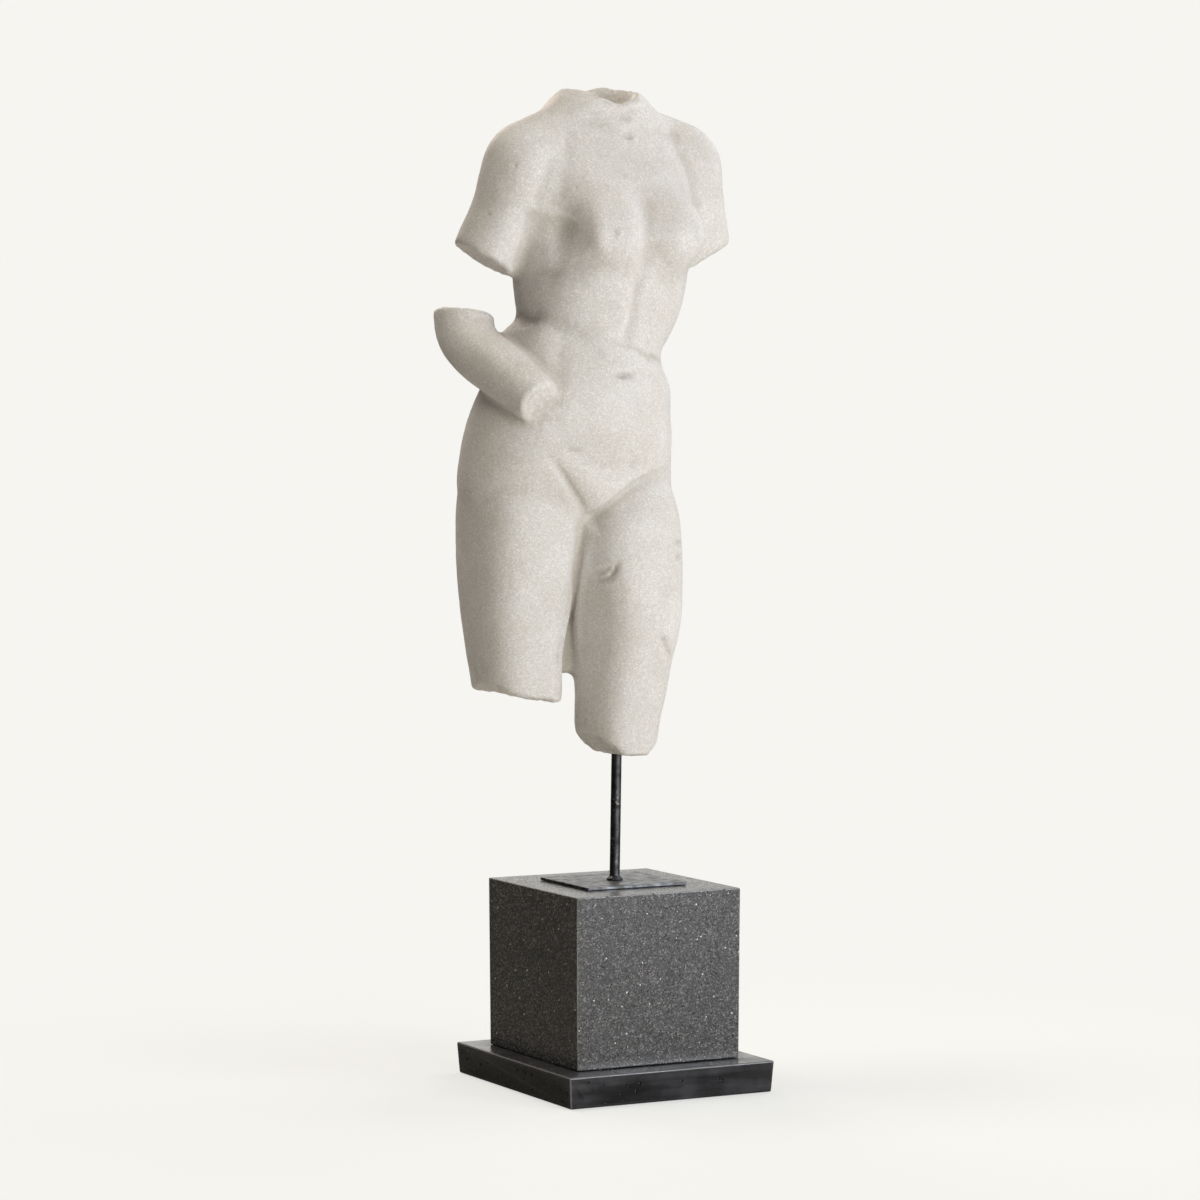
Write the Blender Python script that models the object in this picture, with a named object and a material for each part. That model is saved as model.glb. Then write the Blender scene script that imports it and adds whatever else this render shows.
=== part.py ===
"""Headless marble-look resin torso held up by a steel rod and plate on a black block and slab.

Metres, +Z up. The origin is the centre of the slab's underside, and the plinth's front faces -Y.
The torso is sculpted in figure millimetres: millimetres on a figure of the height it was made at,
which MM turns into metres, so that pose, proportions and carving stay shares of FIGURE_HEIGHT.
"""

import math

import bmesh
import bpy
import numpy as np
from mathutils import Matrix, Vector, noise

# Plinth, plate and rod
SLAB_WIDTH = 0.174
SLAB_DEPTH = 0.193
SLAB_HEIGHT = 0.0238
SLAB_DRAFT = 0.0016
SLAB_EDGE = 0.0012
BLOCK_WIDTH = 0.1395
BLOCK_DEPTH = 0.149
BLOCK_HEIGHT = 0.1296
BLOCK_DRAFT = 0.0008
BLOCK_EDGE = 0.0009
PLATE_WIDTH = 0.0845
PLATE_DEPTH = 0.0800
PLATE_THICKNESS = 0.0021
PLATE_EDGE = 0.0004
ROD_DIAMETER = 0.0080
ROD_EXPOSED = 0.0930
ROD_FOOT = (0.0002, -0.0020)
ROD_LEAN = 0.0016
ROD_SIDES = 24
WELD_SPREAD = 0.0030
WELD_HEIGHT = 0.0030
# The weld's side: shares of its height, and of its spread.
WELD_OUTLINE = [(0.0, 1.0), (0.25, 0.97), (0.6, 0.72), (0.85, 0.36), (1.0, 0.0)]
SOCKET_DEPTH = 0.0300
SOCKET_CLEARANCE = 0.0003
SEAT_GAP = 0.0003
PIECE_SHARP_DEG = 30

# Figure
FIGURE_HEIGHT = 0.510
MADE_HEIGHT_MM = 510
MM = FIGURE_HEIGHT / MADE_HEIGHT_MM
VOXEL_MM = 2.0
RING_POINTS = 48
RING_SPACING_MM = 4.0
CRISP_FADE_MM = 14.0
BLEND_TURNS = 45
SOFTEN_TURNS = 8
FACING_GAIN = 2.5
DOME_FULLNESS = 1.7
GROOVE_FADE = 0.2
GROOVE_END_DEPTH = 0.25
BREAK_CELLS = 24
BREAK_LUMP_MM = 22
BREAK_GRIT_MM = 7
BREAK_GRIT_SHARE = 0.35
TORSO_TRIANGLES = 9000
TORSO_SHARP_DEG = 55

PLATE_TOP_Z = SLAB_HEIGHT + SEAT_GAP + BLOCK_HEIGHT + SEAT_GAP + PLATE_THICKNESS
FIGURE_BASE_Z = PLATE_TOP_Z + ROD_EXPOSED

# Each row of a form is one cross-section, in figure millimetres: height, centre x, centre y, half
# width, depth in front of the centre, depth behind it, turn in degrees, and roll, which is how far the
# section rises per millimetre towards the figure's right.
THORAX = [
    (298, -19, 9, 47.8, 43, 34.3, 14, 0),
    (308, -17.5, 9, 54.2, 47, 40.5, 14, 0),
    (326, -13.5, 9, 63, 52, 43.5, 17, 0),
    (344.5, -10.5, 10, 70.1, 55, 46.3, 18, 0),
    (363, -9.2, 10, 73.1, 57, 50.1, 18, 0),
    (381, -8.0, 10, 74.3, 58, 52.7, 18, 0),
    (400, -6.8, 11, 76.6, 57, 52.2, 17, 0),
    (420, -6.5, 12, 79.4, 53, 48.6, 14.5, 0),
    (438, -5.5, 13, 79.9, 46, 42.4, 14, 0),
    (454, -4.0, 14, 79, 37, 42, 13, 0),
    (468, -3.5, 15, 73, 32, 38, 12, 0),
    (480, -3.0, 16, 64, 29, 34, 11, 0),
    (490, -3.0, 16, 55, 28, 32, 10, 0),
    (500, -4.0, 15, 44, 28, 31, 8, 0),
    (512, -5.5, 14, 30, 27, 30, 6, 0),
    (530, -8.0, 13, 29, 26, 29, 6, 0),
]
PELVIS = [
    (331, -23, 9, 47.2, 35, 35, 14, 0.13),
    (320, -26, 9, 61, 46, 44, 14, 0.13),
    (303, -24.5, 8, 70, 53, 49, 14, 0.13),
    (288, -25.5, 8, 75, 58, 52, 13, 0.12),
    (270, -31, 8, 79, 61, 56, 11, 0.09),
    (250, -34, 8, 84, 60, 60, 8, 0.05),
    (225, -36, 8, 86.6, 54, 63.5, 5, 0),
    (205, -36.5, 8, 86.6, 48, 60.5, 2, 0),
    (186, -36.5, 9, 80, 38, 52, 0, 0),
    (168, -36, 10, 62, 26, 38, 0, 0),
]
WAIST = [
    (276, -25, 8, 62, 58, 44, 13, 0.06),
    (296, -22.5, 9, 60, 56, 44, 14, 0.06),
    (314, -20, 9, 58, 55, 44, 15, 0.06),
    (332, -16.5, 9.5, 60, 55, 44, 16, 0.03),
    (350, -12, 10, 66, 56, 45, 18, 0),
]
RIGHT_THIGH = [
    (240, -66, 10, 36, 38, 42, 0, 0),
    (205, -72.5, 11, 44.4, 46.5, 47.5, 0, 0),
    (176, -75, 12, 44.2, 47.5, 47.5, 0, 0),
    (130, -76, 14, 41, 43.4, 43.4, 0, 0),
    (84, -76.5, 16, 34, 38, 38, 0, 0),
    (50, -73, 18, 31.2, 34.2, 33.3, 0, 0),
    (20, -71, 19, 28.5, 31.4, 30.4, 0, 0),
]
LEFT_THIGH = [
    (232, -8, 6, 38, 36.5, 40, 8, 0),
    (203, 0, 3, 44.6, 43, 47, 13, 0),
    (176, 3, -4, 44.4, 43.6, 47, 13, 0),
    (130, 4.5, -12, 40.2, 40.8, 42.6, 13, 0),
    (100, 5, -13, 37.2, 38.8, 38.8, 13, 0),
    (75, 2.5, -11, 34, 36, 36, 13, 0),
    (50, 2, -8, 31.6, 34, 33, 13, 0),
    (25, 1, -4, 29.3, 31.3, 31.3, 13, 0),
    (-12, 2, -1, 26.5, 29.4, 29.4, 13, 0),
]
THIGH_WEB = [
    (190, -38, 16, 22, 18, 18, 0, 0),
    (150, -37, 15, 17, 13, 15, 0, 0),
    (110, -37, 14, 15, 11, 13, 0, 0),
    (80, -38, 13, 15, 9, 12, 0, 0),
    (66, -39, 13, 14, 8, 10, 0, 0),
]
# How square each form's sections are on the figure's right and left. Round is 2.
SQUARENESS = {
    "thorax": (2.15, 2.4),
    "pelvis": (2.2, 2.25),
    "waist": (2.0, 2.2),
    "right_thigh": (2.7, 2.7),
    "left_thigh": (2.7, 2.6),
    "thigh_web": (2.0, 2.0),
}
# Limbs that don't hang straight are rows of points along their axis: x, y, z, then the radius.
RIGHT_ARM = [
    (-58, 3, 466, 22),
    (-76, 0, 456, 28),
    (-82.5, 1, 438, 28.5),
    (-87.5, 4, 417, 27.5),
    (-100, 10, 390, 25.5),
    (-115, 18, 355, 24),
]
LEFT_ARM = [
    (56, 26, 470, 23),
    (77.5, 30, 459, 28),
    (81.5, 32, 436, 28.5),
    (85.5, 33.5, 415, 28),
    (91.5, 34.5, 393, 27),
    (100, 37, 360, 26),
]
SHOULDER_LINE = [
    (-79, 0, 453, 26),
    (-66, 3, 466, 22),
    (-49, 8, 475, 20),
    (-32, 12, 482, 22),
    (-6, 15, 484, 25),
    (22, 20, 483, 22),
    (42, 24, 478, 20),
    (60, 28, 475, 19),
    (76, 30, 465, 24),
]
FOREARM = [
    (-107.5, 39, 362, 23.5),
    (-108.4, 36, 348.5, 23.5),
    (-110.2, 33, 337.2, 23.3),
    (-111.4, 26, 322.3, 22.5),
    (-108.7, 8, 308, 21.5),
    (-103, -10, 298.3, 21.5),
    (-95.6, -32, 284.5, 20),
    (-87.6, -52, 271.5, 18),
    (-81.9, -62, 263.4, 17),
]
# Each dome: bearing it faces, distance across, height, half width, half height above and below, rise.
BREASTS = [
    (-2, -20, 400, 27, 30, 26, 10),
    (33, 12, 400, 29, 30, 25, 19),
]

# Bearings that strokes are worked from: each is placed by its distance across, as seen from there, and
# its height.
FRONT_RIGHT = -27.7
REAR = 180
# Each swell or hollow: bearing it is worked from, distance across, height, half width, half height, rise.
SWELLS = [
    ("armpit hollow", FRONT_RIGHT, -34, 399, 14, 26, -4),
    ("under the right breast", FRONT_RIGHT, -26, 372, 16, 12, -3.2),
    ("valley beside the flank", FRONT_RIGHT, -39, 301, 7, 22, -2),
    ("right flank", FRONT_RIGHT, -54, 317, 15, 13, 4),
    ("right waist hollow", FRONT_RIGHT, -68, 333, 8, 7, -1),
    ("right rectus", FRONT_RIGHT, 5, 352, 9, 18, 1.5),
    ("belly", FRONT_RIGHT, 5, 262, 34, 30, 3),
    ("lower belly", FRONT_RIGHT, 5, 243, 30, 14, 1.5),
    ("pubic mound", FRONT_RIGHT, -12, 208, 16, 16, 3),
    ("navel", FRONT_RIGHT, 6.6, 292.5, 6, 2.8, -5),
    ("right collar hollow", FRONT_RIGHT, -12, 484, 12, 7, -1.0),
    ("jugular lump", FRONT_RIGHT, 10, 483, 6, 5, 1.5),
    ("jugular pit", FRONT_RIGHT, 11.5, 474, 3.5, 3, -1.2),
    ("left collar hollow", FRONT_RIGHT, 40, 477, 14, 7, -0.7),
    ("right nipple", FRONT_RIGHT, 5, 398, 2.6, 2.6, 1.6),
    ("left nipple", FRONT_RIGHT, 63, 400, 2.6, 2.6, 1.6),
    ("small of the back", REAR, 25, 300, 34, 22, -4),
    ("between the shoulder blades", REAR, 8, 430, 14, 34, -3),
    ("neck facet", FRONT_RIGHT, 11, 493, 8, 6, -1.2),
    ("front of the shoulder", FRONT_RIGHT, -41, 463, 6, 24, 2.0),
    ("left shoulder blade", REAR, -34, 415, 22, 30, 4),
    ("right shoulder blade", REAR, 46, 415, 22, 30, 4),
]
# Each groove: bearing, widths to the left and right of its path, depth, then distances across and heights.
GROOVES = [
    ("breastbone", FRONT_RIGHT, 8, 8, 1.5, [(25.8, 430), (25.8, 396), (22.7, 372)]),
    ("midline", FRONT_RIGHT, 6, 6, 3.2, [(22.7, 374), (19, 350), (15, 330), (10, 305)]),
    ("right arm fold", FRONT_RIGHT, 7, 7, 1.2, [(-34, 449), (-39, 431), (-48, 414)]),
    ("chest side", FRONT_RIGHT, 14, 25, 6, [(-40, 414), (-44, 400), (-48, 378), (-52, 352)]),
    ("right breast fold", FRONT_RIGHT, 3, 7, 1.2, [(-17, 391), (-11, 377), (6, 370.5), (20, 378)]),
    ("left breast fold", FRONT_RIGHT, 3, 6, 1.0, [(33, 398), (36, 384), (46, 375), (66, 374)]),
    ("waist crease", FRONT_RIGHT, 4, 4, 1.0, [(-72, 331), (-64, 331), (-56, 333)]),
    ("fracture", FRONT_RIGHT, 3, 3, 2.0, [(14, 314), (24, 308), (34, 303), (46, 300)]),
    ("belly fold", FRONT_RIGHT, 10, 10, 1.4, [(-52, 262), (-33, 238), (-12, 229), (9, 225), (33, 232)]),
    ("right groin", FRONT_RIGHT, 5, 2.5, 3.0, [(-47, 232), (-34, 212), (-27, 200), (-20, 186)]),
    ("inner thigh", FRONT_RIGHT, 2.5, 6, 3, [(-20, 186), (-28, 131), (-36, 89), (-40, 66)]),
    ("left groin", FRONT_RIGHT, 3, 14, 5, [(-23, 182), (-16, 187), (0, 198), (17, 211), (41, 223)]),
    ("thigh chip", FRONT_RIGHT, 1.8, 3, 3, [(-17, 142), (-10, 145), (2, 150)]),
    ("spine", REAR, 9, 9, 4, [(2, 470), (8, 430), (12, 380), (18, 330), (30, 280), (36, 250)]),
    ("cleft", REAR, 5, 5, 9, [(37, 252), (38, 225), (38, 190), (38, 165)]),
    ("right buttock fold", REAR, 7, 4, 2.5, [(44, 168), (62, 164), (88, 168)]),
    ("left buttock fold", REAR, 4, 7, 2.5, [(32, 168), (14, 164), (-14, 168)]),
]
# Where the softening of the fused forms leaves edges sharp: centre and radius.
CRISP = [
    ((-6, 14, 510), 34),
    ((-74, 14, 40), 40),
    ((2, -2, -4), 36),
    ((-103, 12, 378), 26),
    ((90, 35, 378), 26),
    ((-35, -14, 165), 5),
    ((-34, -12, 145), 5),
    ((-34, -10, 125), 5),
    ((-36, -6, 105), 5),
    ((-38, -2, 85), 5),
]


def clear_scene():
    for obj in list(bpy.data.objects):
        bpy.data.objects.remove(obj)


def material(name, colour, roughness, metallic=0.0):
    made = bpy.data.materials.new(name)
    made.use_nodes = True
    shader = made.node_tree.nodes["Principled BSDF"]
    shader.inputs["Base Color"].default_value = (*colour, 1)
    shader.inputs["Roughness"].default_value = roughness
    shader.inputs["Metallic"].default_value = metallic
    return made


def link(name, bm, finish=None):
    mesh = bpy.data.meshes.new(name)
    bm.to_mesh(mesh)
    bm.free()
    obj = bpy.data.objects.new(name, mesh)
    bpy.context.scene.collection.objects.link(obj)
    if finish:
        mesh.materials.append(finish)
    return obj


def evaluated_mesh(obj):
    """The object's mesh with its modifiers, as a mesh of its own."""
    graph = bpy.context.evaluated_depsgraph_get()
    return bpy.data.meshes.new_from_object(obj.evaluated_get(graph), depsgraph=graph)


def apply_modifiers(obj):
    mesh = evaluated_mesh(obj)
    obj.modifiers.clear()
    obj.data = mesh


def smooth_path(rows, spacing):
    """Rows read from a Catmull-Rom curve through them, about one for each spacing of the first column."""
    rows = np.array(rows, float)
    ends = np.vstack([2 * rows[0] - rows[1], rows, 2 * rows[-1] - rows[-2]])
    out = []
    for a, b, c, d in zip(ends, ends[1:], ends[2:], ends[3:]):
        steps = max(2, round(np.linalg.norm((c - b)[:3]) / spacing))
        for t in np.arange(steps)[:, None] / steps:
            bend = 2 * a - 5 * b + 4 * c - d
            twist = 3 * b - a - 3 * c + d
            out.append(0.5 * (2 * b + (c - a) * t + bend * t**2 + twist * t**3))
    return np.array([*out, rows[-1]])


def skin(name, rings):
    """One closed tube through rings of points, each a list of as many points, capped at both ends."""
    bm = bmesh.new()
    loops = [[bm.verts.new(Vector(point) * MM) for point in ring] for ring in rings]
    for lower, upper in zip(loops, loops[1:]):
        for i, corner in enumerate(lower):
            following = (i + 1) % len(lower)
            bm.faces.new((corner, lower[following], upper[following], upper[i]))
    bm.faces.new(loops[0][::-1])
    bm.faces.new(loops[-1])
    bmesh.ops.recalc_face_normals(bm, faces=bm.faces)
    return link(name, bm)


def rounded(wave, squareness):
    """A sine or cosine made into that of a superellipse: 2 leaves it round."""
    return np.sign(wave) * np.abs(wave) ** (2 / squareness)


def body_form(name, sections):
    """A form stacked from level cross-sections."""
    rings = []
    angles = np.arange(RING_POINTS) * math.tau / RING_POINTS
    for z, cx, cy, half, front, back, turn, roll in smooth_path(sections, RING_SPACING_MM):
        squareness = np.where(np.cos(angles) < 0, *SQUARENESS[name])
        across = rounded(np.cos(angles), squareness) * half
        along = rounded(np.sin(angles), squareness) * np.where(np.sin(angles) < 0, front, back)
        c, s = math.cos(math.radians(turn)), math.sin(math.radians(turn))
        x, y = across * c - along * s, across * s + along * c
        rings.append(np.column_stack([cx + x, cy + y, z - roll * x]))
    return skin(name, rings)


def limb_form(name, axis_points):
    """A round limb along a bent axis."""
    rows = smooth_path(axis_points, RING_SPACING_MM)
    rings = []
    angles = np.arange(RING_POINTS) * math.tau / RING_POINTS
    for i, (x, y, z, radius) in enumerate(rows):
        before, after = rows[max(i - 1, 0)], rows[min(i + 1, len(rows) - 1)]
        turn = Vector((after - before)[:3]).to_track_quat("Z", "Y").to_matrix()
        circle = [Vector((math.cos(a), math.sin(a), 0)) * radius for a in angles]
        rings.append([Vector((x, y, z)) + turn @ point for point in circle])
    return skin(name, rings)


def ellipsoid(name, centre, radii):
    bm = bmesh.new()
    shape = Matrix.Translation(Vector(centre) * MM) @ Matrix.Diagonal((*(Vector(radii) * MM), 1))
    bmesh.ops.create_uvsphere(bm, u_segments=40, v_segments=24, radius=1, matrix=shape)
    return link(name, bm)


def breaking_block(name, at, facing, reach, unevenness, seed):
    """A block with one uneven face at a point. It cuts off what is beyond that face."""
    bm = bmesh.new()
    bmesh.ops.create_grid(bm, x_segments=BREAK_CELLS, y_segments=BREAK_CELLS, size=reach * MM)
    for vert in bm.verts:
        x, y, _ = vert.co / MM
        lump = noise.noise(Vector((x / BREAK_LUMP_MM, y / BREAK_LUMP_MM, seed)))
        grit = noise.noise(Vector((x / BREAK_GRIT_MM, y / BREAK_GRIT_MM, seed + 9)))
        vert.co.z = (lump + BREAK_GRIT_SHARE * grit) * unevenness * MM
    rough = list(bm.faces)
    made = bmesh.ops.extrude_face_region(bm, geom=rough)
    raised = [item for item in made["geom"] if isinstance(item, bmesh.types.BMVert)]
    bmesh.ops.translate(bm, verts=raised, vec=(0, 0, reach * MM))
    bmesh.ops.recalc_face_normals(bm, faces=bm.faces)
    turn = Vector(facing).to_track_quat("Z", "Y").to_matrix().to_4x4()
    bm.transform(Matrix.Translation(Vector(at) * MM) @ turn)
    return link(name, bm)


def break_off(form, at, facing, unevenness=2.5, reach=70, seed=1.0, also=None):
    """Breaks off what is beyond an uneven plane. With a second direction, only what is beyond both."""
    cutter = breaking_block("break", at, facing, reach, unevenness, seed)
    if also:
        second = breaking_block("second_break", at, also, reach, unevenness, seed + 1)
        boolean(cutter, second, "INTERSECT")
    return boolean(form, cutter, "DIFFERENCE")


def boolean(form, tool, operation):
    """Cuts a form with a tool, and removes the tool."""
    tool.hide_render = True
    tool.display_type = "WIRE"
    cut = form.modifiers.new(tool.name, "BOOLEAN")
    cut.object = tool
    cut.operation = operation
    cut.solver = "EXACT"
    apply_modifiers(form)
    bpy.data.objects.remove(tool)
    return form


def hollow_out(form, centre, radii):
    """Sinks a bowl into a form."""
    return boolean(form, ellipsoid("bowl", centre, radii), "DIFFERENCE")


def fuse(name, forms):
    """The forms joined into one skin by remeshing, then softened, most of all away from the breaks."""
    bm = bmesh.new()
    for form in forms:
        bm.from_mesh(form.data)
        bpy.data.objects.remove(form)
    fused = link(name, bm)
    remesh = fused.modifiers.new("fuse", "REMESH")
    remesh.mode = "VOXEL"
    remesh.voxel_size = VOXEL_MM * MM
    apply_modifiers(fused)
    points = vertex_values(fused.data, "co") / MM
    softness = np.ones(len(points))
    for centre, radius in CRISP + [(row[:3], row[3] + 3) for row in FOREARM]:
        away = np.linalg.norm(points - np.array(centre), axis=1) - radius
        softness = np.minimum(softness, np.clip(away / CRISP_FADE_MM, 0, 1))
    group = fused.vertex_groups.new(name="soft")
    for index, weight in enumerate(softness):
        group.add([index], float(weight), "REPLACE")
    for label, turns, within in (("blend", BLEND_TURNS, "soft"), ("soften", SOFTEN_TURNS, "")):
        smooth = fused.modifiers.new(label, "SMOOTH")
        smooth.factor = 0.5
        smooth.iterations = turns
        smooth.vertex_group = within
    apply_modifiers(fused)
    fused.vertex_groups.clear()
    return fused


def vertex_values(mesh, name):
    """Every vertex's position or normal, as rows."""
    values = np.empty(len(mesh.vertices) * 3)
    mesh.vertices.foreach_get(name, values)
    return values.reshape(-1, 3)


def torso_forms():
    chest = body_form("thorax", THORAX)
    shoulders = limb_form("shoulder_line", SHOULDER_LINE)
    for form in (chest, shoulders):
        break_off(form, (-6, 10, 508.5), (-0.06, -0.2, 1), 2, seed=3.0)
        break_off(form, (1, -12, 496), (0.36, -0.42, 1), 1.5, seed=4.0, also=(-0.45, -0.5, 1))
        hollow_out(form, (3, 8, 513), (18, 24, 17))
        hollow_out(form, (-4, 34, 519), (11, 12, 9))
    right_thigh = body_form("right_thigh", RIGHT_THIGH)
    break_off(right_thigh, (-73, 14, 48.5), (-0.16, 0, -1), 2.5, seed=1.5)
    break_off(right_thigh, (-46, 14, 46), (1.0, 0, -1), 1.5, seed=3.5)
    break_off(right_thigh, (-97, 14, 51), (-0.9, -0.2, -1), 1.5, seed=4.5)
    left_thigh = body_form("left_thigh", LEFT_THIGH)
    break_off(left_thigh, (2, -2, 3), (0, 0, -1), 2, seed=7.0)
    break_off(left_thigh, (-18, -4, 13), (-0.8, 0, -1), 2, seed=8.0)
    break_off(left_thigh, (24, -4, 10), (0.9, 0, -1), 2, seed=9.0)
    right_arm = limb_form("right_arm", RIGHT_ARM)
    break_off(right_arm, (-103, 12, 377.5), (-0.48, 0.1, -0.84), 1.2, seed=2.2)
    left_arm = limb_form("left_arm", LEFT_ARM)
    break_off(left_arm, (93, 35, 380.5), (0.47, -0.2, -0.84), 1.2, seed=5.1)
    forearm = limb_form("forearm", FOREARM)
    break_off(forearm, (-110, 33, 341), (0.14, 0.1, 1), 1.5, seed=4.4)
    break_off(forearm, (-87.6, -52, 271.5), (0.3, -0.8, -0.55), 1, seed=6.6)
    forms = [
        chest,
        shoulders,
        body_form("pelvis", PELVIS),
        body_form("waist", WAIST),
        body_form("thigh_web", THIGH_WEB),
        right_thigh,
        left_thigh,
        right_arm,
        left_arm,
        forearm,
    ]
    for name, x in (("right_buttock", -72), ("left_buttock", -4)):
        forms.append(ellipsoid(name, (x, 38, 206), (38, 34, 42)))
    return forms


def view_axes(bearing):
    """The directions across and towards a viewer who looks level from a bearing: 0 is the front."""
    a = math.radians(bearing)
    return np.array([math.cos(a), math.sin(a), 0]), np.array([math.sin(a), -math.cos(a), 0])


def distance_to_path(across, height, path):
    """Each point's distance to a bent line, whether it is on its left, and how far along it, 0 to 1."""
    path = np.array(path, float)
    best = np.full(len(across), np.inf)
    place = np.zeros(len(across))
    on_left = np.zeros(len(across), bool)
    points = np.column_stack([across, height])
    for i, (a, b) in enumerate(zip(path, path[1:])):
        t = np.clip((points - a) @ (b - a) / ((b - a) @ (b - a)), 0, 1)
        off = points - a - t[:, None] * (b - a)
        away = np.linalg.norm(off, axis=1)
        nearer = away < best
        place = np.where(nearer, (i + t) / (len(path) - 1), place)
        on_left = np.where(nearer, (b - a)[0] * off[:, 1] - (b - a)[1] * off[:, 0] > 0, on_left)
        best = np.minimum(best, away)
    return best, on_left, place


def raise_breasts(mesh):
    """Each breast is a dome pushed out of the chest, fuller below than above."""
    points = vertex_values(mesh, "co") / MM
    normals = vertex_values(mesh, "normal")
    for bearing, across, height, half_width, above, below, amount in BREASTS:
        right, towards = view_axes(bearing)
        side = (points @ right - across) / half_width
        rise = points[:, 2] - height
        spread = side**2 + np.where(rise > 0, rise / above, rise / below) ** 2
        facing = np.clip(normals @ towards * FACING_GAIN, 0, 1)
        dome = amount * facing * np.exp(-(spread**DOME_FULLNESS))
        points += towards * dome[:, None]
    mesh.vertices.foreach_set("co", (points * MM).ravel())
    mesh.update()


def carve(mesh):
    """Every swell, hollow and groove, worked along the surface's own normals on the side that faces it."""
    points = vertex_values(mesh, "co") / MM
    normals = vertex_values(mesh, "normal")
    rise = np.zeros(len(points))
    for _, bearing, across, height, half_width, half_height, amount in SWELLS:
        right, towards = view_axes(bearing)
        facing = np.clip(normals @ towards * FACING_GAIN, 0, 1)
        side = (points @ right - across) / half_width
        up = (points[:, 2] - height) / half_height
        rise += amount * facing * np.exp(-(side**2) - up**2)
    for _, bearing, left_width, right_width, depth, path in GROOVES:
        right, towards = view_axes(bearing)
        facing = np.clip(normals @ towards * FACING_GAIN, 0, 1)
        away, on_left, place = distance_to_path(points @ right, points[:, 2], path)
        fade = np.clip(np.minimum(place, 1 - place) / GROOVE_FADE, GROOVE_END_DEPTH, 1)
        width = np.where(on_left, left_width, right_width)
        rise -= depth * fade * facing * np.exp(-((away / width) ** 2))
    points += normals * rise[:, None]
    mesh.vertices.foreach_set("co", (points * MM).ravel())
    mesh.update()


def triangle_count(mesh):
    mesh.calc_loop_triangles()
    return len(mesh.loop_triangles)


def shade_round(mesh, angle):
    """Smooth shading that keeps an edge wherever faces meet more sharply than an angle in degrees."""
    mesh.shade_smooth()
    mesh.set_sharp_from_angle(angle=math.radians(angle))


def make_torso(finish):
    torso = fuse("torso", torso_forms())
    raise_breasts(torso.data)
    carve(torso.data)
    torso.data.transform(Matrix.Translation((0, 0, FIGURE_BASE_Z)))
    thin = torso.modifiers.new("fewer_faces", "DECIMATE")
    thin.ratio = TORSO_TRIANGLES / triangle_count(torso.data)
    apply_modifiers(torso)
    socket_top = FIGURE_BASE_Z + SOCKET_DEPTH + SOCKET_CLEARANCE
    socket_radius = ROD_DIAMETER / 2 + SOCKET_CLEARANCE
    socket = round_bar("socket_cutter", [(PLATE_TOP_Z, socket_radius), (socket_top, socket_radius)])
    boolean(torso, socket, "DIFFERENCE")
    torso.data.materials.clear()
    torso.data.materials.append(finish)
    shade_round(torso.data, TORSO_SHARP_DEG)
    return torso


def round_bar(name, profile, finish=None):
    """A bar that stands and leans as the rod does, through circles given as height and radius."""
    angles = np.linspace(0, 2 * math.pi, ROD_SIDES, endpoint=False)
    rings = []
    for z, radius in profile:
        x = ROD_FOOT[0] + ROD_LEAN * (z - PLATE_TOP_Z) / ROD_EXPOSED
        ring = [(x + radius * math.cos(a), ROD_FOOT[1] + radius * math.sin(a), z) for a in angles]
        rings.append([Vector(point) / MM for point in ring])
    bar = skin(name, rings)
    if finish:
        bar.data.materials.append(finish)
    shade_round(bar.data, PIECE_SHARP_DEG)
    return bar


def make_rod(finish):
    """The rod stands in the middle of a low bead of weld, and its upper end is inside the figure."""
    foot = PLATE_TOP_Z + SEAT_GAP
    radius = ROD_DIAMETER / 2
    profile = [(foot + up * WELD_HEIGHT, radius + out * WELD_SPREAD) for up, out in WELD_OUTLINE]
    profile.append((FIGURE_BASE_Z + SOCKET_DEPTH, radius))
    return round_bar("rod", profile, finish)


def tapered_box(name, size, base_z, draft, edge, finish):
    """A box that is narrower at its foot by the draft on each side, with rounded edges."""
    width, depth, height = size
    bm = bmesh.new()
    middle = Matrix.Translation((0, 0, base_z + height / 2))
    bmesh.ops.create_cube(bm, size=1, matrix=middle @ Matrix.Diagonal((width, depth, height, 1)))
    for corner in bm.verts:
        if corner.co.z < base_z + height / 2:
            corner.co.x -= math.copysign(draft, corner.co.x)
            corner.co.y -= math.copysign(draft, corner.co.y)
    box = link(name, bm, finish)
    rounding = box.modifiers.new("rounded_edges", "BEVEL")
    rounding.width = edge
    rounding.segments = 3
    shade_round(box.data, PIECE_SHARP_DEG)
    return box


def main():
    clear_scene()
    marble = material("marble_resin", (0.72, 0.70, 0.66), 0.55)
    granite = material("granular_black_resin", (0.03, 0.03, 0.032), 0.5)
    lacquer = material("satin_black_resin", (0.015, 0.015, 0.016), 0.35)
    steel = material("dark_steel", (0.09, 0.09, 0.095), 0.45, 1.0)
    block_z = SLAB_HEIGHT + SEAT_GAP
    plate_z = block_z + BLOCK_HEIGHT + SEAT_GAP
    slab_size = (SLAB_WIDTH, SLAB_DEPTH, SLAB_HEIGHT)
    block_size = (BLOCK_WIDTH, BLOCK_DEPTH, BLOCK_HEIGHT)
    plate_size = (PLATE_WIDTH, PLATE_DEPTH, PLATE_THICKNESS)
    tapered_box("base_slab", slab_size, 0, SLAB_DRAFT, SLAB_EDGE, lacquer)
    tapered_box("plinth_block", block_size, block_z, BLOCK_DRAFT, BLOCK_EDGE, granite)
    tapered_box("mounting_plate", plate_size, plate_z, 0, PLATE_EDGE, steel)
    make_rod(steel.copy())
    make_torso(marble)


main()
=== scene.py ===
"""Headless marble-look resin torso on its steel rod and plate, black block and slab, in soft studio light.

Metres, +Z up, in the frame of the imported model. The torso is worked in figure millimetres: from the
break at its foot, on a figure 510 mm high.
"""

import math

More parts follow.
